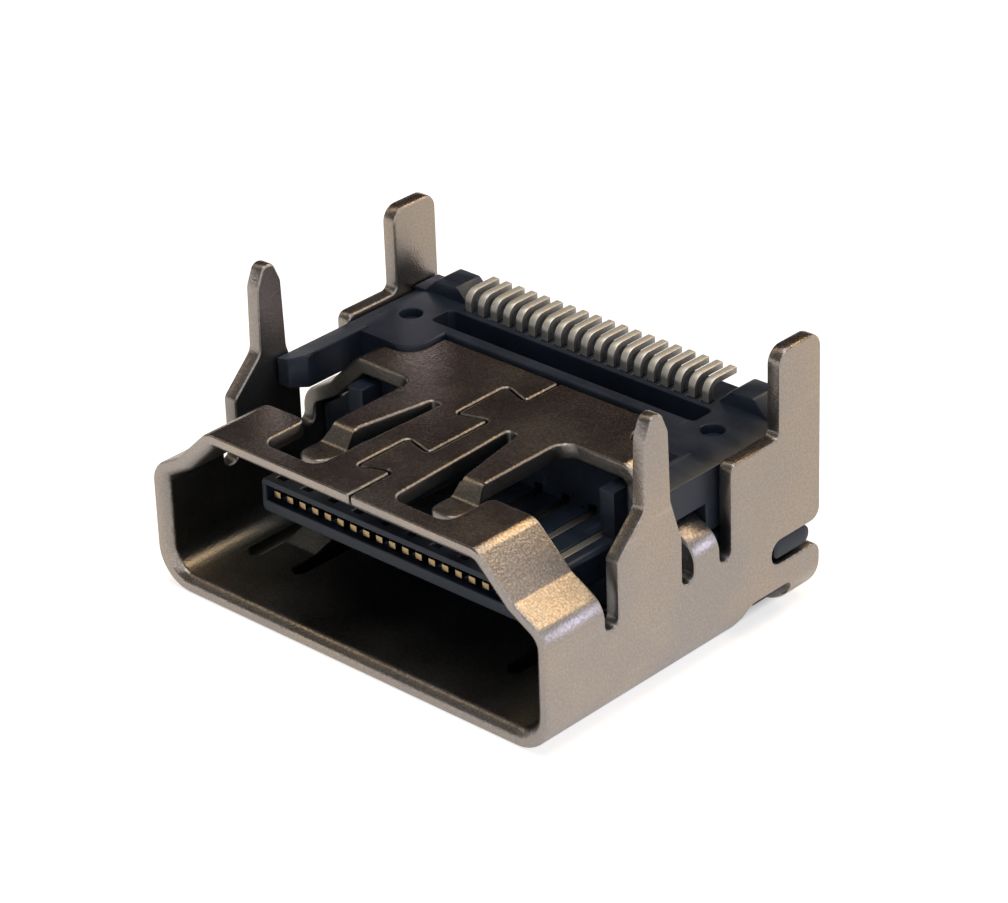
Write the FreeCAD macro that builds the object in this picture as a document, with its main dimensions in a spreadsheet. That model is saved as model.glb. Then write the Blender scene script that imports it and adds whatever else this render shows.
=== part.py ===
import FreeCAD, Part
import math
import os
import Sketcher

# A surface mount digital video socket: one folded sheet shell with four legs, one moulded housing
# with the tongue, and nineteen contacts.  It rests on its broad wall, with the solder side up.
# X runs across the opening, Y from the mouth to the rear, Z up to the solder side.

# Driving dimensions in millimetres.
SIZES = {
    # shell, folded sheet
    "shell_width": 15.0,
    "shell_height": 5.55,
    "shell_depth": 11.36,
    "sheet_thick": 0.5,
    "bottom_radius": 1.2,
    "side_height": 3.71,
    "side_radius": 0.85,
    "shoulder_x": 6.36,
    "shoulder_height": 4.35,
    "face_x": 5.12,
    "face_radius": 0.7,
    "lead_in": 0.22,
    "face_depth": 8.46,
    "broad_depth": 10.6,
    "cut_floor": 2.6,
    # openings beside the spring fingers of the solder side
    "band_depth": 2.37,
    "opening_front": 0.65,
    "opening_side": 3.5,
    "slit_inner": 1.43,
    "slit_root": 1.26,
    "slit_rear": 5.43,
    "finger_root": 1.62,
    "finger_neck": 2.05,
    "finger_side": 2.84,
    "finger_bend": 3.0,
    "finger_valley": 2.36,
    "finger_drop": 0.53,
    "finger_tip": 1.36,
    "finger_tip_drop": 0.42,
    "finger_tip_inner": 2.0,
    "finger_tip_outer": 3.0,
    "finger_tip_round": 0.38,
    # straps that tie the solder side to the side walls
    "strap_front": 5.97,
    "strap_rear": 7.05,
    "plate_x": 4.0,
    "plate_radius": 0.7,
    # slots and legs of the side walls
    "slot_width": 0.48,
    "slot_floor": 2.85,
    "front_leg_front": 4.0,
    "front_leg_rear": 5.05,
    "front_flare_base": 4.75,
    "front_flare_top": 5.82,
    "rear_flare_base": 4.35,
    "rear_flare_top": 5.7,
    "front_leg_top": 8.44,
    "leg_taper": 0.62,
    "leg_tip_inset": 0.28,
    "rear_leg_front": 9.58,
    "rear_leg_top": 8.28,
    "rear_leg_round": 0.5,
    "shoulder_top": 5.66,
    "rear_slot_front": 9.28,
    "rear_slot_low": 1.74,
    "rear_slot_high": 2.47,
    "notch_front": 7.9,
    "notch_rear": 10.15,
    "notch_top": 1.0,
    "notch_x": 6.3,
    "nub_low": 0.6,
    # dovetail seam of the solder side
    "seam_gap": 0.06,
    "seam_radius": 0.12,
    "seam_right": 0.46,
    "seam_left": 0.57,
    # fingers of the broad wall
    "low_slit_inner": 3.91,
    "low_finger_inner": 4.41,
    "low_finger_outer": 5.71,
    "low_slit_outer": 6.22,
    "low_root": 2.12,
    "low_rear": 6.3,
    "low_rise": 0.5,
    # housing, one moulding
    "gap": 0.05,
    "tongue_front": 1.9,
    "tongue_half": 5.05,
    "tongue_low": 2.35,
    "tongue_high": 3.4,
    "tongue_radius": 0.18,
    "groove_half": 4.88,
    "groove_low": 2.72,
    "groove_high": 3.2,
    "groove_deep": 0.3,
    "base_front": 6.3,
    "cheek_front": 5.5,
    "cheek_half": 4.5,
    "cheek_low": 3.3,
    "rib_front": 8.52,
    "rib_rear": 8.86,
    "block_front": 9.75,
    "block_rear": 11.28,
    "block_top": 5.68,
    "trough_half": 5.0,
    "trough_floor": 3.9,
    "arm_inner": 6.04,
    "arm_front": 4.52,
    "arm_low": 4.68,
    "arm_chamfer": 0.41,
    "rail_inner": 6.45,
    "rail_front": 5.05,
    "rail_low": 4.5,
    "ridge_x": 6.16,
    "outer_drop": 0.2,
    "pin_mark_x": 5.73,
    "pin_mark_y": 8.84,
    "pin_mark_radius": 0.35,
    "pin_mark_deep": 0.3,
    "lump_top": 6.12,
    "lump_front": 10.25,
    "lump_inner": 4.72,
    "lump_outer": 6.55,
    # contacts
    "contact_count": 19,
    "contact_pitch": 0.5,
    "contact_width": 0.25,
    "contact_thick": 0.2,
    "channel_gap": 0.02,
    "tip_front": 1.98,
    "tip_height": 2.97,
    "ramp_front": 2.45,
    "ramp_rear": 2.8,
    "upper_run": 3.28,
    "lower_run": 2.47,
    "tail_front": 9.98,
    "foot_top": 6.3,
    "foot_rear": 11.22,
    "foot_radius": 0.2,
}

document = FreeCAD.newDocument("digital_video_socket")
sheet = document.addObject("Spreadsheet::Sheet", "sizes")
for row, (alias, number) in enumerate(SIZES.items(), start=1):
    sheet.set("A%d" % row, alias)
    sheet.set("B%d" % row, str(number))
    sheet.setAlias("B%d" % row, alias)
document.recompute()


class Size:
    """A length together with the sheet formula that gives it."""

    def __init__(self, value, formula):
        self.value = float(value)
        self.formula = formula

    def joined(self, other, sign):
        other = as_size(other)
        value = {"+": self.value + other.value,
                 "-": self.value - other.value,
                 "*": self.value * other.value,
                 "/": self.value / other.value if other.value else 0.0}[sign]
        return Size(value, "(%s %s %s)" % (self.formula, sign, other.formula))

    def __add__(self, other):
        return self.joined(other, "+")

    def __radd__(self, other):
        return as_size(other).joined(self, "+")

    def __sub__(self, other):
        return self.joined(other, "-")

    def __rsub__(self, other):
        return as_size(other).joined(self, "-")

    def __mul__(self, other):
        return self.joined(other, "*")

    def __rmul__(self, other):
        return as_size(other).joined(self, "*")

    def __truediv__(self, other):
        return self.joined(other, "/")

    def __neg__(self):
        return as_size(0.0).joined(self, "-")


def as_size(item):
    return item if isinstance(item, Size) else Size(item, "(%.6f)" % item)


def size(alias):
    return Size(sheet.get(alias), "sizes.%s" % alias)


def bind(thing, place, length):
    """Bind one property of a feature to a sheet formula."""
    thing.setExpression(place, as_size(length).formula)


# Sketch helpers.
def corner_arc(before, at, after, radius):
    """Tangent points, centre and turning side of the arc that rounds the corner `at`."""
    into = (at - before).normalize()
    out = (after - at).normalize()
    turn = math.acos(max(-1.0, min(1.0, into.dot(out))))
    reach = radius * math.tan(turn / 2)
    first = at - into * reach
    last = at + out * reach
    left = into.cross(out).z > 0
    side = FreeCAD.Vector(-into.y, into.x, 0) * (1 if left else -1)
    return first, last, first + side * radius, left


def draw_outline(sketch, corners):
    """Closed outline through corners (x, y) or (x, y, radius), each held by sheet formulas."""
    points = [FreeCAD.Vector(as_size(c[0]).value, as_size(c[1]).value, 0) for c in corners]
    count = len(points)
    starts, ends, arcs = list(points), list(points), {}
    for index, corner in enumerate(corners):
        if len(corner) < 3:
            continue
        radius = as_size(corner[2]).value
        first, last, centre, left = corner_arc(points[index - 1], points[index],
                                               points[(index + 1) % count], radius)
        ends[index], starts[index] = first, last
        arcs[index] = (centre, radius, left)
    lines = []
    for index in range(count):
        segment = Part.LineSegment(starts[index], ends[(index + 1) % count])
        lines.append(sketch.addGeometry(segment, False))
    rules = []
    bound = []

    def hold(kind, *items, formula=None):
        if formula is not None:
            bound.append((len(rules), formula))
        rules.append(Sketcher.Constraint(kind, *items))

    for index, corner in enumerate(corners):
        before, after = lines[index - 1], lines[index]
        across, along = as_size(corner[0]), as_size(corner[1])
        if index in arcs:
            centre, radius, left = arcs[index]
            first, last = (ends[index], starts[index]) if left else (starts[index], ends[index])
            begin = math.atan2(first.y - centre.y, first.x - centre.x)
            finish = math.atan2(last.y - centre.y, last.x - centre.x)
            if finish < begin:
                finish += 2 * math.pi
            circle = Part.Circle(centre, FreeCAD.Vector(0, 0, 1), radius)
            arc = sketch.addGeometry(Part.ArcOfCircle(circle, begin, finish), False)
            mark = sketch.addGeometry(Part.Point(points[index]), True)
            hold("Tangent", before, 2, arc, 1 if left else 2)
            hold("Tangent", after, 1, arc, 2 if left else 1)
            hold("Radius", arc, radius, formula=as_size(corner[2]).formula)
            hold("PointOnObject", mark, 1, before)
            hold("PointOnObject", mark, 1, after)
            hold("DistanceX", mark, 1, across.value, formula=across.formula)
            hold("DistanceY", mark, 1, along.value, formula=along.formula)
        else:
            hold("Coincident", before, 2, after, 1)
            hold("DistanceX", after, 1, across.value, formula=across.formula)
            hold("DistanceY", after, 1, along.value, formula=along.formula)
    base = sketch.ConstraintCount
    sketch.addConstraint(rules)
    for index, formula in bound:
        sketch.setExpression("Constraints[%d]" % (base + index), formula)


def origin_plane(body, role):
    return [item for item in body.Origin.OriginFeatures if item.Role == role][0]


def new_sketch(body, name, role, outlines, offset=None):
    """A sketch on an origin plane of its body, moved along the plane's normal by `offset`."""
    sketch = body.newObject("Sketcher::SketchObject", name)
    sketch.AttachmentSupport = [(origin_plane(body, role), "")]
    sketch.MapMode = "FlatFace"
    if offset is not None:
        move = -as_size(offset) if role == "XZ_Plane" else as_size(offset)
        sketch.AttachmentOffset = FreeCAD.Placement(FreeCAD.Vector(0, 0, move.value),
                                                    FreeCAD.Rotation())
        bind(sketch, "AttachmentOffset.Base.z", move)
    for outline in outlines:
        draw_outline(sketch, outline)
    return sketch


def extrude(body, kind, name, role, outlines, length, offset=None, backwards=False, middle=False):
    """Pad or pocket outlines along +X, +Y or +Z from the origin plane moved by `offset`."""
    sketch = new_sketch(body, name + "_sketch", role, outlines, offset)
    feature = body.newObject("PartDesign::" + kind, name)
    feature.Profile = sketch
    feature.Type = 0
    feature.Length = as_size(length).value
    bind(feature, "Length", length)
    if middle:
        feature.Midplane = True
    else:
        against = role == "XZ_Plane"
        if kind == "Pocket":
            against = not against
        feature.Reversed = against != backwards
    document.recompute()
    return feature


def pad(body, name, role, outlines, length, **more):
    return extrude(body, "Pad", name, role, outlines, length, **more)


def pocket(body, name, role, outlines, length, **more):
    """A pocket that has to remove material."""
    before = body.Shape.Volume
    feature = extrude(body, "Pocket", name, role, outlines, length, **more)
    if body.Shape.Volume > before - 1e-4:
        raise RuntimeError("pocket %s removes nothing" % name)
    return feature


def new_body(label, front_shift):
    """A body whose own frame starts at the mouth, placed so that the socket is centred in Y."""
    body = document.addObject("PartDesign::Body", label)
    body.Label = label
    body.Placement = FreeCAD.Placement(FreeCAD.Vector(0, front_shift.value, 0), FreeCAD.Rotation())
    bind(body, "Placement.Base.y", front_shift)
    return body


def mirrored(outline, side):
    """An outline seen on the right side, or the same one on the left side."""
    if side > 0:
        return outline
    return [(-as_size(corner[0]),) + tuple(corner[1:]) for corner in reversed(outline)]


def both_sides(outline):
    return [mirrored(outline, 1), mirrored(outline, -1)]


def rectangle(low_x, low_y, high_x, high_y, radius=None):
    corners = [(low_x, low_y), (high_x, low_y), (high_x, high_y), (low_x, high_y)]
    return corners if radius is None else [corner + (radius,) for corner in corners]


# Shell.
def shell_profile():
    """Outer outline of the mouth: broad wall below, shoulders above the side walls."""
    half = size("shell_width") / 2
    return [(-half, 0.0, size("bottom_radius")),
            (half, 0.0, size("bottom_radius")),
            (half, size("side_height"), size("side_radius")),
            (size("shoulder_x"), size("shoulder_height"), 0.6),
            (size("face_x"), size("shell_height"), size("face_radius")),
            (-size("face_x"), size("shell_height"), size("face_radius")),
            (-size("shoulder_x"), size("shoulder_height"), 0.6),
            (-half, size("side_height"), size("side_radius"))]


def seam_outline():
    """The dovetail seam as a thin closed outline that runs from before the mouth past the rear."""
    right, left, half_gap = size("seam_right"), -size("seam_left"), size("seam_gap") / 2
    depth = size("face_depth")
    path = [(right, as_size(-0.2)), (right, depth * 0.208), (left, depth * 0.153),
            (left, depth * 0.4), (right, depth * 0.368), (right, depth * 0.66),
            (left, depth * 0.62), (left, depth * 0.872), (right, depth * 0.83),
            (right, depth + 0.2)]
    tight = size("seam_radius")
    wide = tight + size("seam_gap")
    spots = [FreeCAD.Vector(across.value, along.value, 0) for across, along in path]
    sides = [(after - before).normalize() for before, after in zip(spots, spots[1:])]
    sides = [FreeCAD.Vector(-way.y, way.x, 0) for way in sides]
    left_side, right_side = [], []
    for index, (across, along) in enumerate(path):
        before, after = sides[max(index - 1, 0)], sides[min(index, len(sides) - 1)]
        mitre = (before + after) / (1 + before.dot(after))
        turns_left = before.cross(after).z > 0
        rounds = () if index in (0, len(path) - 1) else ((tight, wide) if turns_left else (wide, tight))
        left_side.append((across + half_gap * mitre.x, along + half_gap * mitre.y) + rounds[:1])
        right_side.append((across - half_gap * mitre.x, along - half_gap * mitre.y) + rounds[1:])
    return left_side + right_side[::-1]


def opening_outline():
    """Plan of the hole round one upper spring finger, out through the shoulder and the side wall."""
    beyond = size("shell_width") / 2 + 0.4
    return [(size("slit_root"), size("slit_rear"), 0.12),
            (size("slit_inner"), size("opening_front"), 0.4),
            (size("opening_side"), size("opening_front"), 0.4),
            (size("opening_side"), size("band_depth"), 0.3),
            (beyond, size("band_depth")),
            (beyond, size("strap_front")),
            (size("finger_side"), size("strap_front"), 0.55),
            (size("finger_side"), size("finger_bend")),
            (size("finger_neck"), size("finger_bend")),
            (size("finger_root"), size("slit_rear"), 0.12)]


def rear_outline():
    """Plan of what is cut away behind the straps and behind the solder side face."""
    beyond = size("shell_width") / 2 + 0.4
    plate, radius = size("plate_x"), size("plate_radius")
    strap, face, past = size("strap_rear"), size("face_depth"), size("shell_depth") + 1.0
    return [(beyond, strap), (plate, strap, radius), (plate, face), (-plate, face),
            (-plate, strap, radius), (-beyond, strap), (-beyond, past), (beyond, past)]


def side_wall_outline():
    """Side view of one wall above the cut: slots, front leg, strap foot, shoulder and rear leg."""
    slot, floor = size("slot_width"), size("slot_floor")
    round_end = slot * 0.48
    band, strap, rear = size("band_depth"), size("strap_front"), size("strap_rear")
    low, end = size("cut_floor") - 0.3, size("shell_depth")
    under = floor + 0.3
    tip, rear_top = size("front_leg_top"), size("rear_leg_top")
    front_leg, front_back = size("front_leg_front"), size("front_leg_rear")
    taper, inset = tip - size("leg_taper"), size("leg_tip_inset")
    return [(band - 0.3, low),
            (end, low),
            (end, rear_top, size("rear_leg_round") * 0.9),
            (size("rear_leg_front"), rear_top, size("rear_leg_round")),
            (size("rear_leg_front"), size("shoulder_top"), 0.22),
            (rear + slot, size("shoulder_top"), 0.28),
            (rear + slot, floor, round_end),
            (rear, floor, round_end),
            (rear, under),
            (strap, under),
            (strap, floor, round_end),
            (strap - slot, floor, round_end),
            (strap - slot, size("rear_flare_base"), 0.5),
            (front_back, size("rear_flare_top"), 0.9),
            (front_back - 0.05, taper, 0.8),
            (front_back - inset - 0.05, tip, inset),
            (front_leg + inset + 0.04, tip, inset),
            (front_leg + 0.04, taper, 0.8),
            (front_leg, size("front_flare_top"), 0.5),
            (band + slot + 0.04, size("front_flare_base"), 0.3),
            (band + slot + 0.04, floor, round_end),
            (band, floor, round_end),
            (band, under),
            (band - 0.3, under)]


def upper_finger(body):
    """The two spring fingers of the solder side: bent down to a valley, then up to the tip."""
    top, thick = size("shell_height"), size("sheet_thick")
    bend, valley, tip = size("finger_bend"), size("finger_valley"), size("finger_tip")
    drop, tip_drop = size("finger_drop"), size("finger_tip_drop")
    outline = [(bend, top),
               (bend - 0.22, top, 0.35),
               (valley, top - drop, 0.2),
               (tip, top - tip_drop),
               (tip, top - tip_drop - thick),
               (valley - 0.08, top - drop - thick, 0.5),
               (bend - 0.3, top - thick, 0.1),
               (bend, top - thick)]
    inner, outer, flank = size("finger_tip_inner"), size("finger_tip_outer"), size("finger_side")
    for side, name in ((1, "right"), (-1, "left")):
        start = inner if side > 0 else -outer
        pad(body, "upper_finger_" + name, "YZ_Plane", [outline], outer - inner, offset=start)
    tip_round = size("finger_tip_round")
    plan = [(inner - 0.2, tip - 0.2),
            (outer + 0.2, tip - 0.2),
            (outer + 0.2, bend),
            (flank, bend),
            (flank, valley + 0.3, 0.4),
            (outer, valley, 0.4),
            (outer, tip, tip_round),
            (inner, tip, tip_round),
            (inner, valley, 0.3),
            (size("finger_neck"), valley + 0.3, 0.5),
            (size("finger_neck"), bend),
            (inner - 0.2, bend)]
    pocket(body, "upper_finger_plan", "XY_Plane", both_sides(plan), drop + thick + 0.3,
           offset=top - drop - thick - 0.2)


def lower_finger(body):
    """The two spring fingers of the broad wall, rooted near the mouth and free at the rear."""
    thick, rise = size("sheet_thick"), size("low_rise")
    inner, outer = size("low_finger_inner"), size("low_finger_outer")
    root, rear = size("low_root"), size("low_rear")
    start = root + 1.1
    plan = [(size("low_slit_inner"), root, 0.22),
            (inner, root, 0.22),
            (inner, start),
            (outer, start),
            (outer, root, 0.22),
            (size("low_slit_outer"), root, 0.22),
            (size("low_slit_outer"), rear, 0.22),
            (size("low_slit_inner"), rear, 0.22)]
    pocket(body, "lower_finger_plan", "XY_Plane", both_sides(plan), thick + 0.2, offset=-0.1)
    crest, tip = start + (rear - start) * 0.55, rear - 0.4
    outline = [(start - 0.1, 0.0),
               (start, 0.0, 1.5),
               (crest, rise, 0.8),
               (tip, rise * 0.5),
               (tip, rise * 0.5 + thick),
               (crest, rise + thick, 1.2),
               (start, thick, 1.0),
               (start - 0.1, thick)]
    for side, name in ((1, "right"), (-1, "left")):
        low = inner if side > 0 else -outer
        pad(body, "lower_finger_" + name, "YZ_Plane", [outline], outer - inner, offset=low)


def make_shell(shift):
    body = new_body("shell", shift)
    half, thick = size("shell_width") / 2, size("sheet_thick")
    depth, floor = size("shell_depth"), size("cut_floor")
    ring = pad(body, "profile", "XZ_Plane", [shell_profile()], depth)
    ends = ["Face%d" % (index + 1) for index, face in enumerate(ring.Shape.Faces)
            if abs(abs(face.normalAt(0, 0).y) - 1) < 1e-6]
    wall = body.newObject("PartDesign::Thickness", "sheet")
    wall.Base = (ring, ends)
    wall.Value = thick.value
    bind(wall, "Value", thick)
    wall.Mode = 0
    wall.Join = 1
    wall.Reversed = True
    document.recompute()
    inside = [edge for edge in range(len(wall.Shape.Edges))
              if is_mouth_edge(wall.Shape.Edges[edge], half.value, thick.value)]
    chamfer = body.newObject("PartDesign::Chamfer", "lead_in")
    chamfer.Base = (wall, ["Edge%d" % (edge + 1) for edge in inside])
    chamfer.Size = size("lead_in").value
    bind(chamfer, "Size", size("lead_in"))
    document.recompute()
    past = size("front_leg_top") + 1.0
    pocket(body, "finger_openings", "XY_Plane", both_sides(opening_outline()), past - floor,
           offset=floor)
    pocket(body, "rear_cut", "XY_Plane", [rear_outline()], past - floor, offset=floor)
    for side, name in ((1, "right"), (-1, "left")):
        start = half - thick if side > 0 else -half
        pad(body, "side_wall_" + name, "YZ_Plane", [side_wall_outline()], thick, offset=start)
    low, high = size("rear_slot_low"), size("rear_slot_high")
    inner_end = size("rear_slot_front")
    rear_slot = [(depth + 1.0, high + 0.5),
                 (depth, high + 0.5),
                 (depth, high, 0.4),
                 (inner_end, high, (high - low) * 0.49),
                 (inner_end, low, (high - low) * 0.49),
                 (depth, low, 0.36),
                 (depth, low - 0.5),
                 (depth + 1.0, low - 0.5)]
    rear_corner = [(depth + 1.0, 1.2), (depth, 1.2), (depth, 0.0, 0.6), (depth - 1.0, 0.0),
                   (depth - 1.0, -1.0), (depth + 1.0, -1.0)]
    width = size("shell_width") + 1.0
    pocket(body, "rear_slots", "YZ_Plane", [rear_slot, rear_corner], width, middle=True)
    notch = [(size("notch_front"), -0.1),
             (size("notch_front") + 0.35, size("notch_top"), 0.45),
             (size("notch_rear"), size("notch_top"), 0.3),
             (size("notch_rear"), -0.1)]
    for side, name in ((1, "right"), (-1, "left")):
        reach = half - size("notch_x") + 0.3
        start = size("notch_x") if side > 0 else -size("notch_x") - reach
        pocket(body, "bottom_notch_" + name, "YZ_Plane", [notch], reach, offset=start)
    inset = size("notch_x") - 0.1
    broad = [(-inset, size("broad_depth"), 0.3), (inset, size("broad_depth"), 0.3),
             (inset, depth + 0.5), (-inset, depth + 0.5)]
    pocket(body, "broad_wall_rear", "XY_Plane", [broad], thick + 0.2, offset=-0.1)
    pocket(body, "seam", "XY_Plane", [seam_outline()], thick + 0.4,
           offset=size("shell_height") - thick - 0.2)
    upper_finger(body)
    lower_finger(body)
    return body


def is_mouth_edge(edge, half, thick):
    """True for an edge of the inner outline of the mouth."""
    box = edge.BoundBox
    if abs(box.YMin) > 1e-6 or abs(box.YMax) > 1e-6:
        return False
    spot = edge.valueAt((edge.FirstParameter + edge.LastParameter) / 2)
    deep = [abs(abs(spot.x) - half) > thick * 0.9, spot.z > thick * 0.9]
    top = size("shell_height").value - thick * 0.9
    return all(deep) and spot.z < top and not is_outer_slant(spot)


def is_outer_slant(spot):
    """True on the outer surface of the shoulder between the side wall and the face."""
    reach = math.hypot(size("shoulder_x").value - size("face_x").value,
                       size("shell_height").value - size("shoulder_height").value)
    across = size("shell_height").value - size("shoulder_height").value
    along = size("shoulder_x").value - size("face_x").value
    away = ((abs(spot.x) - size("face_x").value) * across
            + (spot.z - size("shell_height").value) * along) / reach
    shoulder = size("side_height").value - 0.35
    return away > -size("sheet_thick").value * 0.5 and spot.z > shoulder


# Housing.
def base_profile():
    """Front view of the base block, inside the shell with a running gap all round."""
    gap, thick = size("gap"), size("sheet_thick")
    half = size("shell_width") / 2 - thick - gap
    low, top = thick + gap, size("shell_height") - thick - gap
    side = size("side_height") - thick * 0.6 - gap
    inner_x = size("shoulder_x") - thick * 0.25 - gap
    inner_z = size("shoulder_height") - thick * 1.05 - gap
    face = size("face_x") - thick * 0.45 - gap
    corner = size("bottom_radius") - thick - gap
    return [(-half, low, corner), (half, low, corner), (half, side, 0.35), (inner_x, inner_z),
            (face, top, 0.3), (-face, top, 0.3), (-inner_x, inner_z), (-half, side, 0.35)]


def contact_places():
    """Row, X and height of the run of every contact, left to right."""
    count = int(size("contact_count").value)
    for index in range(count):
        across = size("contact_pitch") * (index - (count - 1) / 2.0)
        yield index, across, index % 2 == 0


def channels(body, upper, name):
    """Grooves and upright slots of one row of contacts, as a pattern of one channel."""
    gap, thick = size("channel_gap"), size("contact_thick")
    half = size("contact_width") / 2 + gap
    places = [across for index, across, is_upper in contact_places() if is_upper == upper]
    first = places[0]
    left, right = first - half, first + half
    run = size("upper_run") if upper else size("lower_run")
    low, high = run - thick / 2 - gap, run + thick / 2 + gap
    tail = size("tail_front")
    groove_front = size("tongue_front") + size("groove_deep") - 0.05
    past = size("tongue_high") + 0.2 if upper else size("tongue_low") - 0.2
    run_low, run_high = (low, past) if upper else (past, high)
    groove = pocket(body, name + "_run", "XZ_Plane", [rectangle(left, run_low, right, run_high)],
                    tail + thick + gap - groove_front, offset=groove_front)
    mid = size("tip_height")
    ramp_low = mid - thick / 2 - gap if upper else past
    ramp_high = past if upper else mid + thick / 2 + gap
    ramp = pocket(body, name + "_ramp", "XY_Plane",
                  [rectangle(left, groove_front, right, size("ramp_rear") + 0.1)],
                  ramp_high - ramp_low, offset=ramp_low)
    upright = pocket(body, name + "_upright", "XY_Plane",
                     [rectangle(left, tail - gap, right, tail + thick + gap)],
                     size("block_top") + 0.3 - low, offset=low)
    pattern = body.newObject("PartDesign::LinearPattern", name + "_pattern")
    pattern.Originals = [groove, ramp, upright]
    across = [item for item in body.Origin.OriginFeatures if item.Role == "X_Axis"][0]
    pattern.Direction = (across, [""])
    pattern.Occurrences = len(places)
    bind(pattern, "Length", (size("contact_pitch") * 2) * (len(places) - 1))
    body.Tip = pattern
    document.recompute()
    return pattern


def make_housing(shift):
    body = new_body("housing", shift)
    gap, half = size("gap"), size("shell_width") / 2 - size("sheet_thick") - size("gap")
    front, rib, top = size("base_front"), size("rib_front"), size("block_top")
    low, corner = size("sheet_thick") + gap, size("bottom_radius") - size("sheet_thick") - gap
    pad(body, "base_block", "XZ_Plane", [base_profile()], rib + 0.1 - front, offset=front)
    rear = [(-half, low, corner), (half, low, corner), (half, top - 0.02), (-half, top - 0.02)]
    pad(body, "rear_block", "XZ_Plane", [rear], size("block_rear") - rib, offset=rib)
    plate_front, plate_in = size("strap_rear") + gap, size("plate_x") + gap
    plate = [(plate_in, rib + 0.1), (plate_in, plate_front, size("plate_radius") - gap),
             (half, plate_front), (half, rib + 0.1)]
    pad(body, "side_plates", "XY_Plane", both_sides(plate), top - 0.02 - 3.6, offset=3.6)
    arm_in, arm_front, cut = size("arm_inner"), size("arm_front"), size("arm_chamfer")
    arm = [(arm_in + cut, arm_front, 0.05), (half, arm_front, 0.12), (half, plate_front + 0.3),
           (arm_in, plate_front + 0.3), (arm_in, arm_front + cut, 0.1)]
    arms = pad(body, "arms", "XY_Plane", both_sides(arm), top - size("arm_low"),
               offset=size("arm_low"))
    rail = rectangle(size("rail_inner"), size("rail_front"), half, plate_front + 0.3)
    pad(body, "arm_rails", "XY_Plane", both_sides(rail), size("arm_low") + 0.1 - size("rail_low"),
        offset=size("rail_low"))
    lump_in, lump_out, lump_top = size("lump_inner"), size("lump_outer"), size("lump_top")
    lump = [(lump_in - 0.1, top - 0.2), (lump_out + 0.1, top - 0.2), (lump_out, top - 0.05, 0.1),
            (lump_out - 0.55, lump_top, 0.2), (lump_in + 0.5, lump_top, 0.2),
            (lump_in, top - 0.05, 0.1)]
    pad(body, "lumps", "XZ_Plane", both_sides(lump), size("block_rear") - size("lump_front"),
        offset=size("lump_front"))
    ridge, past = size("ridge_x"), half + 0.1
    slant = [(ridge, top), (past, top - size("outer_drop")), (past, top + 0.5), (ridge, top + 0.5)]
    pocket(body, "outer_slants", "XZ_Plane", both_sides(slant), size("lump_front") - arm_front + 0.1,
           offset=arm_front - 0.1)
    reach = size("pin_mark_radius")
    mark_x, mark_y = size("pin_mark_x"), size("pin_mark_y")
    mark = rectangle(mark_x - reach, mark_y - reach, mark_x + reach, mark_y + reach, reach * 0.98)
    pocket(body, "pin_marks", "XY_Plane", both_sides(mark), size("pin_mark_deep") + 0.5,
           offset=top - size("pin_mark_deep"))
    trough = size("trough_half")
    pocket(body, "trough", "XY_Plane",
           [rectangle(-trough, size("rib_rear"), trough, size("block_front"), 0.2)],
           top + 0.5 - size("trough_floor"), offset=size("trough_floor"))
    tongue_half, radius = size("tongue_half"), size("tongue_radius")
    pad(body, "tongue", "XZ_Plane",
        [rectangle(-tongue_half, size("tongue_low"), tongue_half, size("tongue_high"), radius)],
        front + 0.2 - size("tongue_front"), offset=size("tongue_front"))
    cheek = rectangle(size("cheek_half"), size("cheek_low"), tongue_half,
                      size("shell_height") - size("sheet_thick") - gap * 4)
    pad(body, "cheeks", "XZ_Plane", both_sides(cheek), front + 0.2 - size("cheek_front"),
        offset=size("cheek_front"))
    groove_half = size("groove_half")
    pocket(body, "tip_groove", "XZ_Plane",
           [rectangle(-groove_half, size("groove_low"), groove_half, size("groove_high"))],
           size("groove_deep") + 0.1, offset=size("tongue_front") - 0.1)
    nub_high, nub_low = size("rear_slot_high") - gap, size("rear_slot_low") + 0.12
    nub_rear = size("shell_depth") - 0.38
    nub = [(size("rear_slot_front") + 0.16, nub_low, 0.2), (nub_rear, nub_low, 0.26),
           (nub_rear, nub_high, 0.26), (size("rear_slot_front") + 0.16, nub_high, 0.2)]
    nub_start, nub_end = size("notch_front") + 0.85, size("notch_rear") - 0.1
    low_nub = rectangle(nub_start, size("nub_low"), nub_end, size("notch_top") - 0.07, 0.12)
    for side, name in ((1, "right"), (-1, "left")):
        start = half - 0.2 if side > 0 else -half - 0.45
        pad(body, "slot_nub_" + name, "YZ_Plane", [nub], 0.65, offset=start)
        foot = size("notch_x") + gap
        start = foot if side > 0 else -foot - 0.8
        pad(body, "bottom_nub_" + name, "YZ_Plane", [low_nub], 0.8, offset=start)
    channels(body, True, "upper_row")
    channels(body, False, "lower_row")
    return body


# Contacts.
def contact_outline(upper):
    """Side view of one contact: tip, ramp, run along the tongue, upright and solder foot."""
    thick = size("contact_thick")
    run = size("upper_run") if upper else size("lower_run")
    tip, half = size("tip_height"), thick / 2
    front, ramp, level = size("tip_front"), size("ramp_front"), size("ramp_rear")
    tail, foot, end = size("tail_front"), size("foot_top"), size("foot_rear")
    inner, outer = size("foot_radius"), size("foot_radius") + thick
    # the mitre moves each ramp corner along Y by this much
    shift = half * (0.42 if upper else -0.42)
    return [(front, tip - half),
            (ramp + shift, tip - half),
            (level + shift, run - half),
            (tail + thick, run - half),
            (tail + thick, foot - thick, inner),
            (end, foot - thick),
            (end, foot),
            (tail, foot, outer),
            (tail, run + half),
            (level - shift, run + half),
            (ramp - shift, tip + half),
            (front, tip + half)]


def make_contact(index, across, upper, shift):
    body = new_body("contact_%02d" % (index + 1), shift)
    body.Placement.Base.x = across.value
    bind(body, "Placement.Base.x", across)
    pad(body, "strip_%02d" % (index + 1), "YZ_Plane", [contact_outline(upper)],
        size("contact_width"), middle=True)
    return body


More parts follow.
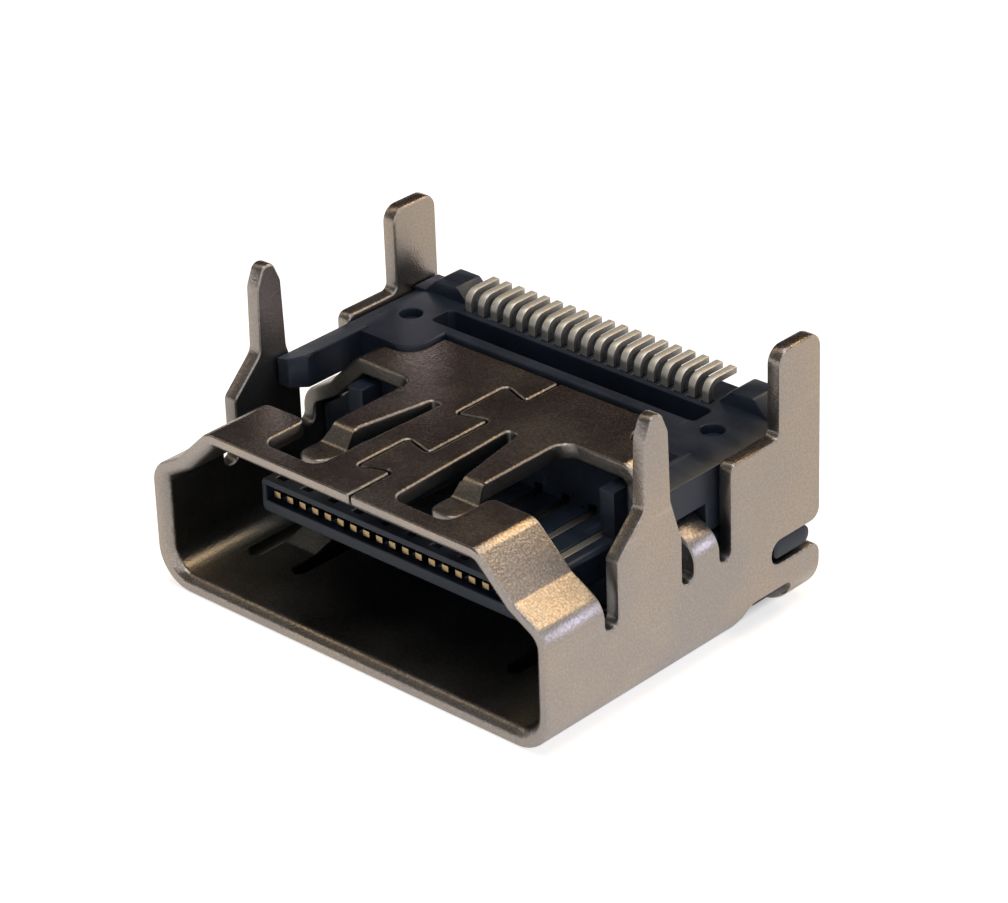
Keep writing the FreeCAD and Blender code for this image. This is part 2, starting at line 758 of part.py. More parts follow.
# Build and check.
centre = -(size("shell_depth") / 2)
subparts = [make_shell(centre), make_housing(centre)]
subparts += [make_contact(index, across, upper, centre)
             for index, across, upper in contact_places()]
document.recompute()

faults = [item.Name for item in document.Objects
          if any(word in item.State for word in ("Invalid", "Error"))]
if faults:
    raise RuntimeError("failed objects: %s" % ", ".join(faults))
os.makedirs("parts", exist_ok=True)
for item in subparts:
    shape = item.Shape
    if shape.isNull() or not shape.isValid() or len(shape.Solids) != 1:
        raise RuntimeError("bad shape in %s" % item.Label)
for item in subparts:
    item.Shape.exportStep(os.path.join("parts", item.Label + ".step"))
    print(item.Label, "volume mm3 %.3f" % item.Shape.Volume)
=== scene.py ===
"""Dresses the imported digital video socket: rolled edges, plating, moulded resin, tinned feet."""

import math

import bmesh
import bpy
from mathutils import Matrix, Vector
from mathutils.bvhtree import BVHTree
from mathutils.geometry import intersect_point_line


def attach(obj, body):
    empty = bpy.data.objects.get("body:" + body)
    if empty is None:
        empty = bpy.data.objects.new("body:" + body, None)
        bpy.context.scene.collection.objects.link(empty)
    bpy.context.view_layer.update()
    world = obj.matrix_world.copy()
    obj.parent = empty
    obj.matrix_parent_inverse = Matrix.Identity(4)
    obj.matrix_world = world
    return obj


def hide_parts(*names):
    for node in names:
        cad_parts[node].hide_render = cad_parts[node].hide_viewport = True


bl_info = {
    "name": "Digital video socket",
    "version": (1, 0, 0),
    "blender": (4, 5, 0),
    "location": "View3D > Sidebar > Socket",
    "description": "Dresses a surface mount digital video socket and its studio",
    "category": "Object",
}

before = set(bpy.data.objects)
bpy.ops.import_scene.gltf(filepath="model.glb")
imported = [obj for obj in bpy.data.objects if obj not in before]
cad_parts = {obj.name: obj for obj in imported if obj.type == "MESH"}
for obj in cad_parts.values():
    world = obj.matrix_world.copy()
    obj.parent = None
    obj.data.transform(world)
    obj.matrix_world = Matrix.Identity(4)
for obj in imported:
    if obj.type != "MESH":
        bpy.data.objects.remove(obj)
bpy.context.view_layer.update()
MM = 0.001
ROLLED = "rolled_edge"
CONTACTS = sorted(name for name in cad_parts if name.startswith("contact_"))

# Edges that turn by more than SHARP_TURN are rounded. Shading goes smoothly across a turn below
# ROUND_TURN on a round, and below FOLD_TURN between the facets of a fold.
SHARP_TURN = math.radians(32.0)
ROUND_TURN = math.radians(50.0)
FOLD_TURN = math.radians(24.0)

# The camera's turn, rise and roll in degrees, and in millimetres the point that it looks at, its
# shift to the right and up, and its distance.
CAMERA_ANGLES = (43.716, 28.176, -2.090)
CAMERA_TARGET = Vector((0.0, -0.68, 2.7))
CAMERA_SHIFT = (1.0142, 1.7014)
CAMERA_DISTANCE = 109.081

# Glowing cards that only the metal's reflections show, as painted reflections: name, turns and
# rises in degrees, reach in metres, tone.
CARDS = (
    ("rear_card", (-110.0, -16.0), (6.0, 58.0), 0.40, (0.034, 0.027, 0.031)),
    ("front_card", (-180.0, -116.0), (8.0, 68.0), 0.40, (0.13, 0.125, 0.12)),
    ("finger_card", (-116.0, -90.0), (28.0, 68.0), 0.32, (1.0, 0.84, 0.60)),
    ("slope_card", (28.0, 64.0), (26.0, 44.0), 0.40, (0.45, 0.43, 0.39)),
)


# Settings.
class SocketSheet(bpy.types.PropertyGroup):
    """Folded sheet shell."""

    edge_roll: bpy.props.FloatProperty(
        name="Edge roll", description="Radius that stamping leaves on the sheet's edges",
        default=0.1 * MM, min=0.0, max=0.2 * MM, unit="LENGTH", precision=6)
    colour: bpy.props.FloatVectorProperty(
        name="Plating colour", description="Colour of the nickel plating",
        default=(0.42, 0.378, 0.35), min=0.0, max=1.0, subtype="COLOR", size=3)
    roughness: bpy.props.FloatProperty(
        name="Plating roughness", description="Roughness of clean plating",
        default=0.24, min=0.0, max=1.0, subtype="FACTOR")
    grain: bpy.props.FloatProperty(
        name="Grain size", description="Size of the rolled sheet's fine pits",
        default=0.07 * MM, min=0.01 * MM, max=1.0 * MM, unit="LENGTH", precision=6)


class SocketHousing(bpy.types.PropertyGroup):
    """Moulded housing."""

    edge_round: bpy.props.FloatProperty(
        name="Edge round", description="Radius on the moulding's outer edges",
        default=0.045 * MM, min=0.0, max=0.1 * MM, unit="LENGTH", precision=6)
    colour: bpy.props.FloatVectorProperty(
        name="Resin colour", description="Colour of the moulded resin",
        default=(0.016, 0.022, 0.036), min=0.0, max=1.0, subtype="COLOR", size=3)
    roughness: bpy.props.FloatProperty(
        name="Resin roughness", description="Roughness of the moulded skin",
        default=0.32, min=0.0, max=1.0, subtype="FACTOR")


class SocketContacts(bpy.types.PropertyGroup):
    """Stamped contacts."""

    edge_round: bpy.props.FloatProperty(
        name="Edge round", description="Radius on the edges of the stamped contacts",
        default=0.02 * MM, min=0.0, max=0.08 * MM, unit="LENGTH", precision=6)
    tin: bpy.props.FloatVectorProperty(
        name="Tin colour", description="Colour of the tinned feet",
        default=(0.80, 0.77, 0.71), min=0.0, max=1.0, subtype="COLOR", size=3)
    gold: bpy.props.FloatVectorProperty(
        name="Gold colour", description="Colour of the plated tips",
        default=(0.74, 0.53, 0.27), min=0.0, max=1.0, subtype="COLOR", size=3)


class SocketStudio(bpy.types.PropertyGroup):
    """Floor, lamps, camera."""

    floor_colour: bpy.props.FloatVectorProperty(
        name="Floor colour", description="Colour of the pale table",
        default=(0.86, 0.86, 0.86), min=0.0, max=1.0, subtype="COLOR", size=3)
    key: bpy.props.FloatProperty(
        name="Overhead lamp", description="Power of the large soft lamp overhead",
        default=0.35, min=0.0, unit="POWER")
    warm: bpy.props.FloatProperty(
        name="Warm lamp", description="Power of the warm lamp that the folds mirror",
        default=0.22, min=0.0, unit="POWER")
    cool: bpy.props.FloatProperty(
        name="Cool lamp", description="Power of the low cool lamp that the lowest bend mirrors",
        default=0.1, min=0.0, unit="POWER")
    lens: bpy.props.FloatProperty(
        name="Lens", description="Focal length on a 36 mm wide sensor",
        default=139.4, min=10.0, subtype="DISTANCE_CAMERA")


# Node helpers.
def add(tree, kind, **properties):
    """A node of a kind, with its properties set by name."""
    node = tree.nodes.new(kind)
    for name, value in properties.items():
        setattr(node, name, value)
    return node


def link(tree, source, target):
    tree.links.new(source, target)


def spread(tree, value, low_in, high_in, low, high):
    """Maps a value from one range to another."""
    node = tree.nodes.new("ShaderNodeMapRange")
    for name, number in (("From Min", low_in), ("From Max", high_in), ("To Min", low),
                         ("To Max", high)):
        node.inputs[name].default_value = number
    link(tree, value, node.inputs["Value"])
    return node.outputs["Result"]


def arithmetic(tree, operation, first, second):
    node = tree.nodes.new("ShaderNodeMath")
    node.operation = operation
    for socket, item in zip(node.inputs, (first, second)):
        if isinstance(item, (int, float)):
            socket.default_value = item
        else:
            link(tree, item, socket)
    return node.outputs[0]


def blend_colours(tree, fac, first, second):
    node = tree.nodes.new("ShaderNodeMix")
    node.data_type = "RGBA"
    for socket, item in zip((node.inputs[0], node.inputs[6], node.inputs[7]), (fac, first, second)):
        if hasattr(item, "links"):
            link(tree, item, socket)
        elif isinstance(item, float):
            socket.default_value = item
        else:
            socket.default_value = tuple(item)[:3] + (1.0,)
    return node.outputs[2]


def scaled(colour, *factors):
    """A colour with its parts multiplied by one factor, or by a factor each."""
    factors = factors * 3 if len(factors) == 1 else factors
    return tuple(part * factor for part, factor in zip(colour, factors))


def overlay(tree, base, mask, amount, colour):
    """Lays a colour over a base where a mask shows, by up to an amount."""
    return blend_colours(tree, arithmetic(tree, "MULTIPLY", mask, amount), base, colour)


def object_place(tree):
    """Where a point lies on its object, which is where it lies in the frame."""
    return tree.nodes.new("ShaderNodeTexCoord").outputs["Object"]


def parts_of(tree, vector):
    """The X, Y and Z of a vector."""
    node = tree.nodes.new("ShaderNodeSeparateXYZ")
    link(tree, vector, node.inputs[0])
    return node.outputs


def stretched(tree, place, scale, turn=(0.0, 0.0, 0.0)):
    """A place scaled along each axis, for marks that are longer than wide."""
    node = tree.nodes.new("ShaderNodeMapping")
    node.inputs["Rotation"].default_value = turn
    node.inputs["Scale"].default_value = scale
    link(tree, place, node.inputs["Vector"])
    return node.outputs["Vector"]


def noise(tree, place, scale, detail=2.0, rough=0.5):
    """Soft noise at a number of cells per metre, which may come from another node."""
    node = tree.nodes.new("ShaderNodeTexNoise")
    if isinstance(scale, float):
        node.inputs["Scale"].default_value = scale
    else:
        link(tree, scale, node.inputs["Scale"])
    node.inputs["Detail"].default_value = detail
    node.inputs["Roughness"].default_value = rough
    link(tree, place, node.inputs["Vector"])
    return node.outputs["Fac"]


def rolled_mask(tree):
    """1 on the rounds of a rounded copy."""
    return add(tree, "ShaderNodeAttribute", attribute_name=ROLLED).outputs["Fac"]


def new_group(name, inputs, outputs):
    """A node group with float inputs {name: default} and outputs {name: socket type}."""
    tree = bpy.data.node_groups.new(name, "ShaderNodeTree")
    for label, value in inputs.items():
        socket = tree.interface.new_socket(label, in_out="INPUT", socket_type="NodeSocketFloat")
        socket.default_value = value
    for label, kind in outputs.items():
        tree.interface.new_socket(label, in_out="OUTPUT", socket_type=kind)
    return tree, tree.nodes.new("NodeGroupInput"), tree.nodes.new("NodeGroupOutput")


def fine_grain_group():
    """Fine pits and soft waves of a surface, and a mask of its scattered specks."""
    if "fine_grain" in bpy.data.node_groups:
        return bpy.data.node_groups["fine_grain"]
    tree, given, out = new_group("fine_grain", {"Scale": 9000.0, "Waves": 0.5},
                                 {"Height": "NodeSocketFloat", "Specks": "NodeSocketFloat"})
    place, scale = object_place(tree), given.outputs["Scale"]
    pits = noise(tree, place, scale, 3.0)
    waves = noise(tree, place, arithmetic(tree, "MULTIPLY", scale, 0.12), 1.0)
    specks = tree.nodes.new("ShaderNodeTexVoronoi")
    link(tree, place, specks.inputs["Vector"])
    link(tree, arithmetic(tree, "MULTIPLY", scale, 0.8), specks.inputs["Scale"])
    lifted = arithmetic(tree, "MULTIPLY", waves, given.outputs["Waves"])
    link(tree, arithmetic(tree, "ADD", pits, lifted), out.inputs["Height"])
    link(tree, spread(tree, specks.outputs["Distance"], 0.05, 0.3, 1.0, 0.0), out.inputs["Specks"])
    return tree


def handling_group():
    """Masks of handling: faint smears, and thin scratches along the sheet."""
    if "handling_marks" in bpy.data.node_groups:
        return bpy.data.node_groups["handling_marks"]
    tree, given, out = new_group("handling_marks", {"Amount": 1.0},
                                 {"Smear": "NodeSocketFloat", "Scratch": "NodeSocketFloat"})
    place, amount = object_place(tree), given.outputs["Amount"]
    smear = spread(tree, noise(tree, place, 380.0, 3.0, 0.6), 0.4, 0.75, 0.0, 1.0)
    lines = stretched(tree, place, (3200.0, 260.0, 2600.0), (0.2, 0.1, 0.5))
    scratch = spread(tree, noise(tree, lines, 1.0, 2.0, 0.6), 0.66, 0.74, 0.0, 1.0)
    link(tree, arithmetic(tree, "MULTIPLY", smear, amount), out.inputs["Smear"])
    link(tree, arithmetic(tree, "MULTIPLY", scratch, amount), out.inputs["Scratch"])
    return tree


def place_group(tree, group, **values):
    node = tree.nodes.new("ShaderNodeGroup")
    node.node_tree = group
    for name, value in values.items():
        node.inputs[name].default_value = value
    return node


def fresh_material(name):
    material = bpy.data.materials.new(name)
    material.use_nodes = True
    tree = material.node_tree
    shader = tree.nodes["Principled BSDF"]
    return material, tree, shader


def bumped(tree, shader, height, strength, distance):
    bump = add(tree, "ShaderNodeBump")
    bump.inputs["Strength"].default_value = strength
    bump.inputs["Distance"].default_value = distance
    link(tree, height, bump.inputs["Height"])
    link(tree, bump.outputs["Normal"], shader.inputs["Normal"])


def openness(tree, own_only, closed, free):
    """0 deep inside the socket, where the open share is below closed, and 1 above free; the mask of
    painted shade in recesses.
    """
    node = add(tree, "ShaderNodeAmbientOcclusion", samples=8, only_local=own_only)
    node.inputs["Distance"].default_value = 12.0 * MM
    return spread(tree, node.outputs["AO"], closed, free, 0.0, 1.0)


# Materials.
def plating_material(sheet):
    """Nickel plated sheet: warm grey metal, finely pitted, with painted shade in the pits and
    painted glints on upward faces, painted highlights on the rolled edges and painted shade deep
    inside the socket.
    """
    material, tree, shader = fresh_material("nickel_plating")
    grain = place_group(tree, fine_grain_group(), Scale=1.0 / sheet.grain, Waves=0.8)
    marks = place_group(tree, handling_group(), Amount=1.0)
    place = object_place(tree)
    cloud = noise(tree, place, 240.0, 3.0, 0.55)
    fine = noise(tree, place, 1.0 / sheet.grain, 2.0, 0.6)
    normal = add(tree, "ShaderNodeTexCoord").outputs["Normal"]
    # Painted shade and painted glints: on faces turned upward, the fine noise darkens the plating
    # in pit specks and lightens it in glint specks.
    upward = spread(tree, parts_of(tree, normal)["Z"], 0.2, 0.95, 0.24, 0.75)
    pits = arithmetic(tree, "MULTIPLY", upward, spread(tree, fine, 0.42, 0.62, 0.0, 1.0))
    painted_glints = arithmetic(tree, "MULTIPLY", upward, spread(tree, fine, 0.40, 0.30, 0.0, 1.0))
    bright = scaled(sheet.colour, 1.35)
    warm, cool = scaled(sheet.colour, 1.06, 1.0, 0.9), scaled(sheet.colour, 0.9, 0.92, 0.95)
    base = blend_colours(tree, spread(tree, cloud, 0.35, 0.65, 0.0, 1.0), warm, cool)
    for mask, amount, colour in (
            (pits, 1.0, scaled(sheet.colour, 0.5, 0.46, 0.46)),
            (painted_glints, 1.0, bright),
            (grain.outputs["Specks"], 0.2, scaled(sheet.colour, 0.7)),
            # Painted highlight: the rounds on the rolled edges are lightened to stand in for the
            # light that they catch.
            (rolled_mask(tree), 0.75, scaled(sheet.colour, 1.95, 1.9, 1.7)),
            (marks.outputs["Scratch"], 0.25, bright)):
        base = overlay(tree, base, mask, amount, colour)
    # Painted shade: deep inside the socket, where little light reaches, the plating darkens towards
    # near black.
    open_share = openness(tree, True, 0.3, 0.95)
    link(tree, blend_colours(tree, open_share, (0.078, 0.090, 0.092), base),
         shader.inputs["Base Color"])
    shader.inputs["Metallic"].default_value = 1.0
    rough = spread(tree, cloud, 0.3, 0.7, sheet.roughness - 0.05, sheet.roughness + 0.06)
    smeared = arithmetic(tree, "MULTIPLY", marks.outputs["Smear"], 0.09)
    rough = arithmetic(tree, "ADD", rough, smeared)
    rough = arithmetic(tree, "ADD", rough, spread(tree, open_share, 0.0, 1.0, 0.13, 0.0))
    link(tree, rough, shader.inputs["Roughness"])
    bumped(tree, shader, grain.outputs["Height"], 0.8, 0.011 * MM)
    return material


def resin_material(housing):
    """Glass filled resin: near black with a blue cast, fine matt skin and faint flow marks, and
    painted highlights on the rounded edges.
    """
    material, tree, shader = fresh_material("housing_resin")
    grain = place_group(tree, fine_grain_group(), Scale=16000.0, Waves=0.6)
    marks = place_group(tree, handling_group(), Amount=0.7)
    streaks = stretched(tree, object_place(tree), (500.0, 1400.0, 900.0))
    flow = noise(tree, streaks, 1.0, 4.0, 0.6)
    base = blend_colours(tree, spread(tree, flow, 0.35, 0.8, 0.0, 0.7), housing.colour,
                         scaled(housing.colour, 2.1))
    base = overlay(tree, base, marks.outputs["Scratch"], 0.5, scaled(housing.colour, 4.0))
    # Painted highlight: the rounded edges of the moulding are lightened to stand in for the light
    # that they catch.
    base = overlay(tree, base, rolled_mask(tree), 0.5, scaled(housing.colour, 2.8))
    link(tree, base, shader.inputs["Base Color"])
    rough = spread(tree, flow, 0.3, 0.7, housing.roughness - 0.06, housing.roughness + 0.12)
    link(tree, rough, shader.inputs["Roughness"])
    shader.inputs["Specular IOR Level"].default_value = 0.4
    shader.inputs["Specular Tint"].default_value = (0.8, 0.9, 1.0, 1.0)
    bumped(tree, shader, grain.outputs["Height"], 0.5, 0.006 * MM)
    return material


def contact_material(contacts):
    """Stamped copper alloy: gold at the tip inside the mouth, matt tin on the solder foot, with
    painted shade deep inside the socket.
    """
    material, tree, shader = fresh_material("contact_plating")
    grain = place_group(tree, fine_grain_group(), Scale=14000.0, Waves=0.5)
    place = object_place(tree)
    rear = spread(tree, parts_of(tree, place)["Y"], -3.3 * MM, -2.9 * MM, 0.0, 1.0)
    cloud = noise(tree, place, 900.0, 3.0, 0.6)
    tin = blend_colours(tree, spread(tree, cloud, 0.35, 0.7, 0.0, 1.0), contacts.tin,
                        scaled(contacts.tin, 0.72))
    metal = blend_colours(tree, rear, contacts.gold, tin)
    # Painted shade: deep inside the socket, where little light reaches, the contacts darken towards
    # near black.
    link(tree, blend_colours(tree, openness(tree, False, 0.22, 0.8), (0.03, 0.027, 0.023), metal),
         shader.inputs["Base Color"])
    shader.inputs["Metallic"].default_value = 1.0
    matt = spread(tree, rear, 0.0, 1.0, 0.28, 0.5)
    rough = arithmetic(tree, "ADD", matt, spread(tree, cloud, 0.3, 0.7, -0.06, 0.08))
    link(tree, rough, shader.inputs["Roughness"])
    bumped(tree, shader, grain.outputs["Height"], 0.4, 0.004 * MM)
    return material


def floor_material(colour):
    """A white table: it shows as white but for a painted shadow under the socket, and keeps its
    cast shadow.
    """
    material, tree, shader = fresh_material("white_table")
    path = add(tree, "ShaderNodeLightPath")
    mirrored = arithmetic(tree, "MAXIMUM", path.outputs["Is Glossy Ray"],
                          path.outputs["Is Transmission Ray"])
    place = object_place(tree)
    along = parts_of(tree, place)
    # Painted reflection: to glossy rays the table glows, brighter towards the front and dimmer
    # towards the rear.
    painted_reflection_fade = spread(tree, along["Y"], -2.0 * MM, 10.0 * MM, 0.455, 0.355)
    glow = arithmetic(tree, "ADD", arithmetic(tree, "MULTIPLY", path.outputs["Is Camera Ray"], 0.7),
                      arithmetic(tree, "MULTIPLY", mirrored, painted_reflection_fade))
    # The painted shadow reaches 6.8 mm to each side and 5.4 mm each way along, and fades in its
    # last 0.8 mm.
    outside = [spread(tree, arithmetic(tree, "ABSOLUTE", along[axis], 0.0), (half - 0.8) * MM,
                      half * MM, 0.0, 1.0)
               for axis, half in (("X", 6.8), ("Y", 5.4))]
    outside = arithmetic(tree, "MAXIMUM", *outside)
    glow = arithmetic(tree, "MULTIPLY", glow, outside)
    soft = noise(tree, place, 60.0, 2.0, 0.5)
    pale = blend_colours(tree, soft, colour, scaled(colour, 0.985))
    # Painted shadow: under the socket's footprint the table is near black.
    link(tree, blend_colours(tree, outside, (0.03, 0.03, 0.03), pale), shader.inputs["Base Color"])
    shader.inputs["Roughness"].default_value = 0.9
    shader.inputs["Specular IOR Level"].default_value = 0.0
    shader.inputs["Emission Color"].default_value = (1.0, 1.0, 1.0, 1.0)
    link(tree, glow, shader.inputs["Emission Strength"])
    return material


def card_material(name, tone):
    """A glowing card that the metal mirrors, a painted reflection in an even tone with faint
    fibres.
    """
    material, tree, shader = fresh_material(name)
    fibres = noise(tree, object_place(tree), 90.0, 3.0, 0.6)
    card_glow = blend_colours(tree, fibres, scaled(tone, 0.7), scaled(tone, 1.3))
    # Painted reflection: the card glows in its tone by emission and is lit by no lamp.
    shader.inputs["Base Color"].default_value = (0.02, 0.02, 0.02, 1.0)
    link(tree, card_glow, shader.inputs["Emission Color"])
    shader.inputs["Emission Strength"].default_value = 1.0
    shader.inputs["Roughness"].default_value = 0.95
    shader.inputs["Specular IOR Level"].default_value = 0.0
    return material


# Dressed solids.
def plain_solid(node, merge, flat_degrees):
    """A closed mesh of a CAD node with one face for each flat or gently bent surface."""
    bm = bmesh.new()
    bm.from_mesh(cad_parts[node].data)
    bmesh.ops.remove_doubles(bm, verts=bm.verts, dist=merge)
    before = BVHTree.FromBMesh(bm)
    bmesh.ops.dissolve_limit(bm, angle_limit=math.radians(flat_degrees), verts=bm.verts,
                             edges=bm.edges, use_dissolve_boundaries=False, delimit={"NORMAL"})
    return bm, before


def lies_near(place, edge, reach):
    start, end = (corner.co for corner in edge.verts)
    spot, share = intersect_point_line(place, start, end)
    spot = start if share < 0.0 else end if share > 1.0 else spot
    return (spot - place).length < reach


def round_edges(bm, offset, steps, left_sharp):
    """Rounds the outward edges, but for those close to a place that is left sharp."""
    reach = offset * 1.6
    sharp = [edge for edge in bm.edges if len(edge.link_faces) == 2 and edge.is_convex
             and edge.calc_face_angle() > SHARP_TURN
             and not any(lies_near(place, edge, reach) for place in left_sharp)]
    made = bmesh.ops.bevel(bm, geom=sharp, offset=offset, offset_type="OFFSET", segments=steps,
                           profile=0.5, affect="EDGES", clamp_overlap=False, material=-1,
                           loop_slide=True)
    layer = bm.faces.layers.float.new(ROLLED)
    for face in made["faces"]:
        if face.is_valid:
            face[layer] = 1.0


def crossed_places(bm, before, offset):
    """Centres of the faces that a round has turned over or pushed off the surface."""
    trial, places = bm.copy(), []
    least_agreement, furthest, smallest = 0.2, offset * 0.9, (0.001 * MM) ** 2
    bmesh.ops.triangulate(trial, faces=[face for face in trial.faces if len(face.verts) > 4],
                          quad_method="BEAUTY", ngon_method="BEAUTY")
    for face in trial.faces:
        centre = face.calc_center_median()
        normal, away = before.find_nearest(centre)[1::2]
        crossed = face.normal.dot(normal) < least_agreement or away > furthest
        if crossed and face.calc_area() > smallest:
            places.append(centre)
    trial.free()
    return places


def keep_in_box(bm, solid):
    """Moves the few corners that a round pushed out of the solid's box back to it."""
    for axis in range(3):
        along = [vertex.co[axis] for vertex in solid.vertices]
        low, high = min(along), max(along)
        for vertex in bm.verts:
            vertex.co[axis] = min(max(vertex.co[axis], low), high)


def part_shading(bm):
    """Smooths across the rounds and the folds, and keeps flat faces apart at every other edge."""
    layer = bm.faces.layers.float[ROLLED]
    for edge in bm.edges:
        if len(edge.link_faces) == 2:
            on_round = any(face[layer] > 0.5 for face in edge.link_faces)
            edge.smooth = edge.calc_face_angle() < (ROUND_TURN if on_round else FOLD_TURN)


def rounded_copy(node, name, offset, merge, flat_degrees=4.0, steps=2):
    """A copy of a CAD node with rounded outer edges and a mask on the rounds.

    Corners closer than merge become one, and so do faces that turn by less than flat_degrees.
    """
    left_sharp = []
    for _ in range(3):
        bm, before = plain_solid(node, merge, flat_degrees)
        round_edges(bm, offset, steps, left_sharp)
        crossed = crossed_places(bm, before, offset)
        if not crossed:
            break
        left_sharp += crossed
    keep_in_box(bm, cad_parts[node].data)
    for face in bm.faces:
        face.smooth = True
    part_shading(bm)
    mesh = bpy.data.meshes.new(name)
    bm.to_mesh(mesh)
    bm.free()
    piece = bpy.data.objects.new(name, mesh)
    bpy.context.scene.collection.objects.link(piece)
    weighted = piece.modifiers.new("flat_faces_stay_flat", "WEIGHTED_NORMAL")
    weighted.keep_sharp = True
    weighted.weight = 80
    cut = piece.modifiers.new("even_triangles", "TRIANGULATE")
    cut.min_vertices = 5
    cut.quad_method = cut.ngon_method = "BEAUTY"
    cut.keep_custom_normals = True
    return piece


def fit_out(piece, node, material):
    """Gives a piece its material and its place in the frame, in place of its CAD node."""
    piece.data.materials.clear()
    piece.data.materials.append(material)
    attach(piece, "root")
    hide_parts(node)


class SOCKET_OT_shell(bpy.types.Operator):
    """Roll the edges of the folded sheet and plate it"""

    bl_idname = "socket.shell"
    bl_label = "Folded shell"

    def execute(self, context):
        sheet = context.scene.socket_sheet
        piece = rounded_copy("shell", "plated_shell", sheet.edge_roll, 0.02 * MM, steps=3)
        fit_out(piece, "shell", plating_material(sheet))
        return {"FINISHED"}


class SOCKET_OT_housing(bpy.types.Operator):
    """Round the edges of the moulding and give it its resin"""

    bl_idname = "socket.housing"
    bl_label = "Moulded housing"

    def execute(self, context):
        housing = context.scene.socket_housing
        piece = rounded_copy("housing", "moulded_housing", housing.edge_round, 0.01 * MM)
        fit_out(piece, "housing", resin_material(housing))
        return {"FINISHED"}


class SOCKET_OT_contacts(bpy.types.Operator):
    """Round and plate the row of contacts"""

    bl_idname = "socket.contacts"
    bl_label = "Contacts"

    def execute(self, context):
        contacts = context.scene.socket_contacts
        material = contact_material(contacts)
        for node in CONTACTS:
            piece = rounded_copy(node, "plated_" + node, contacts.edge_round, 0.001 * MM,
                                 flat_degrees=0.6)
            fit_out(piece, node, material)
        return {"FINISHED"}


# Studio.
def stage_plane(name, corners, material):
    """A flat stage piece through four corners, in metres."""
    bm = bmesh.new()
    bm.faces.new([bm.verts.new(corner) for corner in corners])
    mesh = bpy.data.meshes.new(name)
    bm.to_mesh(mesh)
    bm.free()
    mesh.materials.append(material)
    piece = bpy.data.objects.new(name, mesh)
    bpy.context.scene.collection.objects.link(piece)
    return piece


def far_place(turn, rise, reach):
    """A place seen from the socket at a turn from the rear towards +X and a rise, in degrees."""
    turn, rise = math.radians(turn), math.radians(rise)
    return Vector((math.sin(turn) * math.cos(rise), math.cos(turn) * math.cos(rise),
                   math.sin(rise))) * reach


def mirrored_card(name, turns, rises, reach, tone):
    """A card between two turns and two rises, which only the metal's reflections show."""
    (left, right), (low, high) = turns, rises
    corners = [far_place(turn, rise, reach)
               for turn, rise in ((left, low), (right, low), (right, high), (left, high))]
    card = stage_plane(name, corners, card_material(name, tone))
    card.visible_camera = False
    card.visible_shadow = False
    card.visible_diffuse = False


def soft_lamp(name, place, width, height, power, colour):
    """A rectangular soft lamp at a place, in metres, turned to the socket."""
    lamp = bpy.data.lights.new(name, "AREA")
    lamp.shape = "RECTANGLE"
    lamp.size, lamp.size_y = width, height
    lamp.energy = power
    lamp.color = colour
    holder = bpy.data.objects.new(name, lamp)
    holder.location = place
    aim = Vector((0.0, 0.0, 0.003)) - Vector(place)
    holder.rotation_euler = aim.to_track_quat("-Z", "Y").to_euler()
    bpy.context.scene.collection.objects.link(holder)


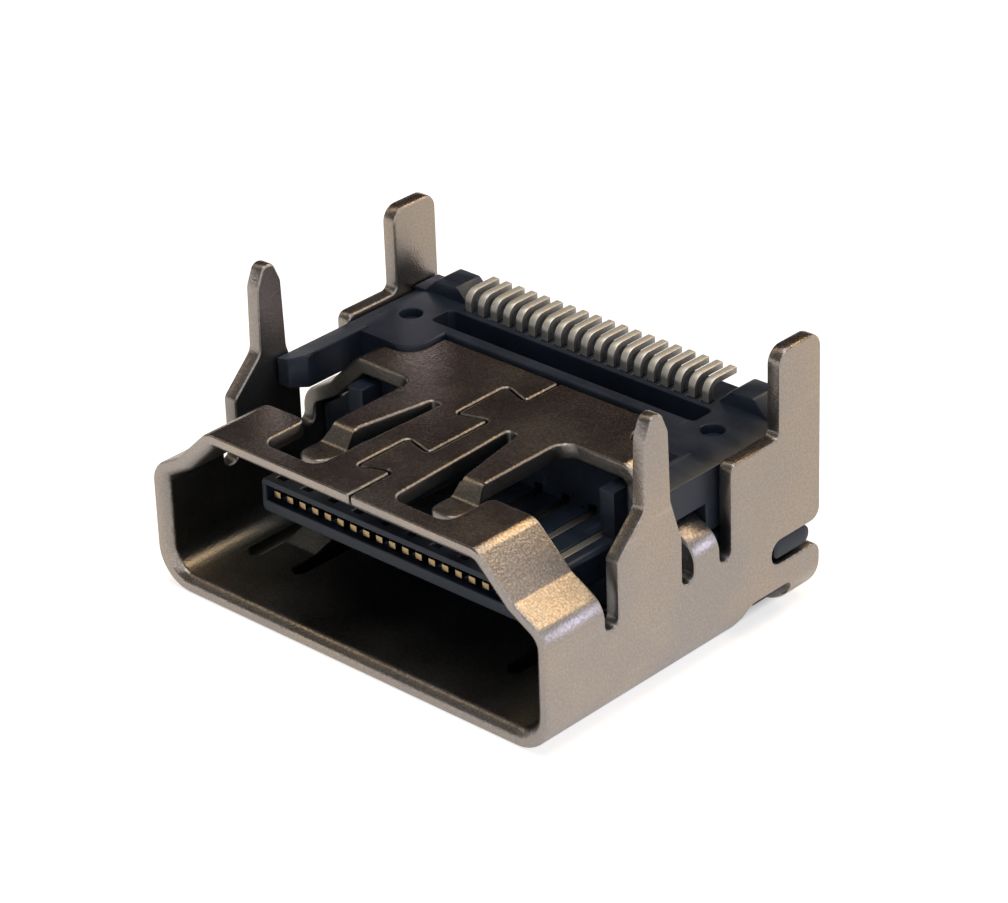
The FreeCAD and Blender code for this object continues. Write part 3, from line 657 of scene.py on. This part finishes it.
class SOCKET_OT_studio(bpy.types.Operator):
    """Set the table, the cards, the lamps and the camera"""

    bl_idname = "socket.studio"
    bl_label = "Studio"

    def execute(self, context):
        studio = context.scene.socket_studio
        reach, under = 2.0, -0.002 * MM
        stage_plane("table", [(-reach, -reach, under), (reach, -reach, under),
                              (reach, reach, under), (-reach, reach, under)],
                    floor_material(studio.floor_colour))
        for card in CARDS:
            mirrored_card(*card)
        soft_lamp("key_lamp", (0.02, -0.02, 0.35), 0.20, 0.20, studio.key, (1.0, 0.96, 0.9))
        soft_lamp("warm_lamp", far_place(5.0, 50.0, 0.3), 0.20, 0.12, studio.warm,
                  (1.0, 0.66, 0.23))
        soft_lamp("cool_lamp", far_place(50.0, 16.0, 0.3), 0.14, 0.09, studio.cool,
                  (0.60, 0.64, 1.0))
        self.light_room(context.scene)
        self.place_camera(context.scene, studio.lens)
        context.scene.view_settings.view_transform = "Standard"
        return {"FINISHED"}

    def light_room(self, scene):
        """A plain pale room, white where it is seen or mirrored."""
        world = bpy.data.worlds.new("pale_room")
        world.use_nodes = True
        tree = world.node_tree
        path = add(tree, "ShaderNodeLightPath")
        seen = arithmetic(tree, "MAXIMUM", path.outputs["Is Camera Ray"],
                          arithmetic(tree, "MAXIMUM", path.outputs["Is Glossy Ray"],
                                     path.outputs["Is Transmission Ray"]))
        background = tree.nodes["Background"]
        background.inputs["Color"].default_value = (1.0, 1.0, 1.0, 1.0)
        link(tree, spread(tree, seen, 0.0, 1.0, 0.25, 1.0), background.inputs["Strength"])
        scene.world = world

    def place_camera(self, scene, lens):
        """The camera at the photograph's angle and distance."""
        view = bpy.data.cameras.new("camera")
        view.sensor_fit = "HORIZONTAL"
        view.sensor_width = 36.0
        view.lens = lens
        view.clip_start = 0.005
        view.clip_end = 10.0
        turn, rise, roll = (math.radians(angle) for angle in CAMERA_ANGLES)
        back = Vector((math.sin(turn) * math.cos(rise), -math.cos(turn) * math.cos(rise),
                       math.sin(rise)))
        level = (-back).cross(Vector((0, 0, 1))).normalized()
        upright = level.cross(-back)
        right = level * math.cos(roll) + upright * math.sin(roll)
        up = right.cross(-back)
        across, above = CAMERA_SHIFT
        place = CAMERA_TARGET + right * across + up * above + back * CAMERA_DISTANCE
        turned = Matrix((right, up, back)).transposed().to_4x4()
        holder = bpy.data.objects.new("camera", view)
        holder.matrix_world = Matrix.Translation(place * MM) @ turned
        scene.collection.objects.link(holder)
        scene.camera = holder


class SOCKET_PT_panel(bpy.types.Panel):
    """The socket's settings and steps"""

    bl_idname = "SOCKET_PT_panel"
    bl_label = "Socket"
    bl_space_type = "VIEW_3D"
    bl_region_type = "UI"
    bl_category = "Socket"

    def draw(self, context):
        for settings in (context.scene.socket_sheet, context.scene.socket_housing,
                         context.scene.socket_contacts, context.scene.socket_studio):
            box = self.layout.box()
            for name in settings.__annotations__:
                box.prop(settings, name)
        for step in STEPS:
            self.layout.operator(step.bl_idname)


SETTINGS = {"socket_sheet": SocketSheet, "socket_housing": SocketHousing,
            "socket_contacts": SocketContacts, "socket_studio": SocketStudio}
STEPS = (SOCKET_OT_shell, SOCKET_OT_housing, SOCKET_OT_contacts, SOCKET_OT_studio)
CLASSES = tuple(SETTINGS.values()) + STEPS + (SOCKET_PT_panel,)


def register():
    for item in CLASSES:
        bpy.utils.register_class(item)
    for name, group in SETTINGS.items():
        setattr(bpy.types.Scene, name, bpy.props.PointerProperty(type=group))


def unregister():
    for name in SETTINGS:
        delattr(bpy.types.Scene, name)
    for item in reversed(CLASSES):
        bpy.utils.unregister_class(item)


def main():
    register()
    for step in (bpy.ops.socket.shell, bpy.ops.socket.housing, bpy.ops.socket.contacts,
                 bpy.ops.socket.studio):
        step()


if __name__ == "__main__":
    main()
